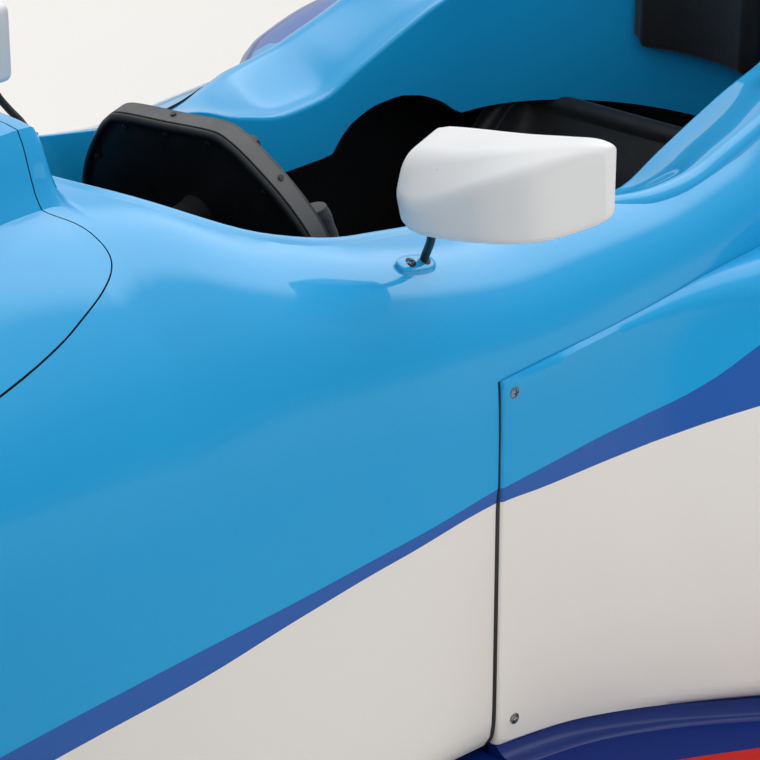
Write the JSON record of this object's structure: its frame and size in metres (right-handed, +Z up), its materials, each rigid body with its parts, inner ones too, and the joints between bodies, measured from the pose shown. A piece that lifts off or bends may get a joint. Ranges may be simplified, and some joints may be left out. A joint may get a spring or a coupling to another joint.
{
  "type": "open wheel racing car",
  "caption": "Single seater open wheel racing car with a composite survival cell, open cockpit, sidepods, front and rear wings and steered front wheels",
  "frame": {"origin": "on the ground, under the middle of the car's length and width", "axes": "+X to the nose, +Y to the car's left, +Z up"},
  "size_m": [4.4, 2, 0.945],
  "materials": {
    "blue_paint": "glossy light blue paint over composite",
    "white_paint": "glossy white paint over composite",
    "dark_blue_paint": "glossy dark blue paint over composite",
    "carbon": "bare carbon fibre composite",
    "tyre_rubber": "matt black rubber",
    "magnesium": "satin dark grey cast magnesium",
    "cast_alloy": "cast, bead blasted",
    "black_leather": "matt black leather and suede",
    "black_plastic": "matt black composite and suede grip"
  },
  "bodies": {
    "chassis": {"survival_cell": "blue_paint", "hatch_cover": "blue_paint", "cockpit_surround": "blue_paint", "headrest_pad": "black_leather", "nose_cone": "blue_paint", "engine_cover": "blue_paint", "floor": "dark_blue_paint", "diffuser": "carbon", "engine_block": "cast_alloy", "gearbox": "cast_alloy", "seat": "black_leather", "dash_bulkhead": "carbon", "front_wing": "white_paint", "front_endplate_left": "white_paint", "front_endplate_right": "white_paint", "rear_wing": "white_paint", "rear_beam_wing": "white_paint", "rear_endplate_left": "blue_paint", "rear_endplate_right": "blue_paint", "sidepod_left": "white_paint", "sidepod_right": "white_paint", "mirror_left": "white_paint", "mirror_right": "white_paint", "upright_rear_left": "cast_alloy", "upright_rear_right": "cast_alloy", "front_upper_wishbone_left": "carbon", "front_upper_wishbone_right": "carbon", "front_lower_wishbone_left": "carbon", "front_lower_wishbone_right": "carbon", "rear_upper_wishbone_left": "carbon", "rear_upper_wishbone_right": "carbon", "rear_lower_wishbone_left": "carbon", "rear_lower_wishbone_right": "carbon"},
    "steering_wheel": {"steering_wheel": "black_plastic"},
    "steering_rack": {"steering_rack": "cast_alloy"},
    "knuckle_left": {"upright_front_left": "cast_alloy"},
    "wheel_front_left": {"tyre_front_left": "tyre_rubber", "rim_front_left": "magnesium"},
    "wheel_rear_left": {"tyre_rear_left": "tyre_rubber", "rim_rear_left": "magnesium", "driveshaft_left": "cast_alloy"},
    "knuckle_right": {"upright_front_right": "cast_alloy"},
    "wheel_front_right": {"tyre_front_right": "tyre_rubber", "rim_front_right": "magnesium"},
    "wheel_rear_right": {"tyre_rear_right": "tyre_rubber", "rim_rear_right": "magnesium", "driveshaft_right": "cast_alloy"}
  },
  "joints": [
    {"name": "steering_wheel_turn", "type": "hinge", "parent": "chassis", "child": "steering_wheel", "pos_m": [0.37, 0, 0.565], "axis": [-0.9659, 0, 0.2588], "range_deg": [-112, 112]},
    {"name": "rack_slide", "type": "slide", "parent": "chassis", "child": "steering_rack", "axis": [0, 1, 0], "range_m": [-0.0275, 0.0275]},
    {"name": "knuckle_left_turn", "type": "hinge", "parent": "chassis", "child": "knuckle_left", "pos_m": [1.39, 0.722, 0.3242], "axis": [0, 0, 1], "range_deg": [-14.2, 14.2]},
    {"name": "wheel_front_left_spin", "type": "hinge", "parent": "knuckle_left", "child": "wheel_front_left", "pos_m": [1.39, 0.8475, 0.3242], "axis": [0, 1, 0], "continuous": true},
    {"name": "wheel_rear_left_spin", "type": "hinge", "parent": "chassis", "child": "wheel_rear_left", "pos_m": [-1.58, 0.81, 0.33015], "axis": [0, 1, 0], "continuous": true},
    {"name": "knuckle_right_turn", "type": "hinge", "parent": "chassis", "child": "knuckle_right", "pos_m": [1.39, -0.722, 0.3242], "axis": [0, 0, 1], "range_deg": [-14.2, 14.2]},
    {"name": "wheel_front_right_spin", "type": "hinge", "parent": "knuckle_right", "child": "wheel_front_right", "pos_m": [1.39, -0.8475, 0.3242], "axis": [0, 1, 0], "continuous": true},
    {"name": "wheel_rear_right_spin", "type": "hinge", "parent": "chassis", "child": "wheel_rear_right", "pos_m": [-1.58, -0.81, 0.33015], "axis": [0, 1, 0], "continuous": true}
  ],
  "couplings": [
    {"joint": "rack_slide", "follows": "steering_wheel_turn", "m_per_rad": -0.01375},
    {"joint": "knuckle_left_turn", "follows": "steering_wheel_turn", "ratio": 0.125},
    {"joint": "knuckle_right_turn", "follows": "steering_wheel_turn", "ratio": 0.125}
  ]
}
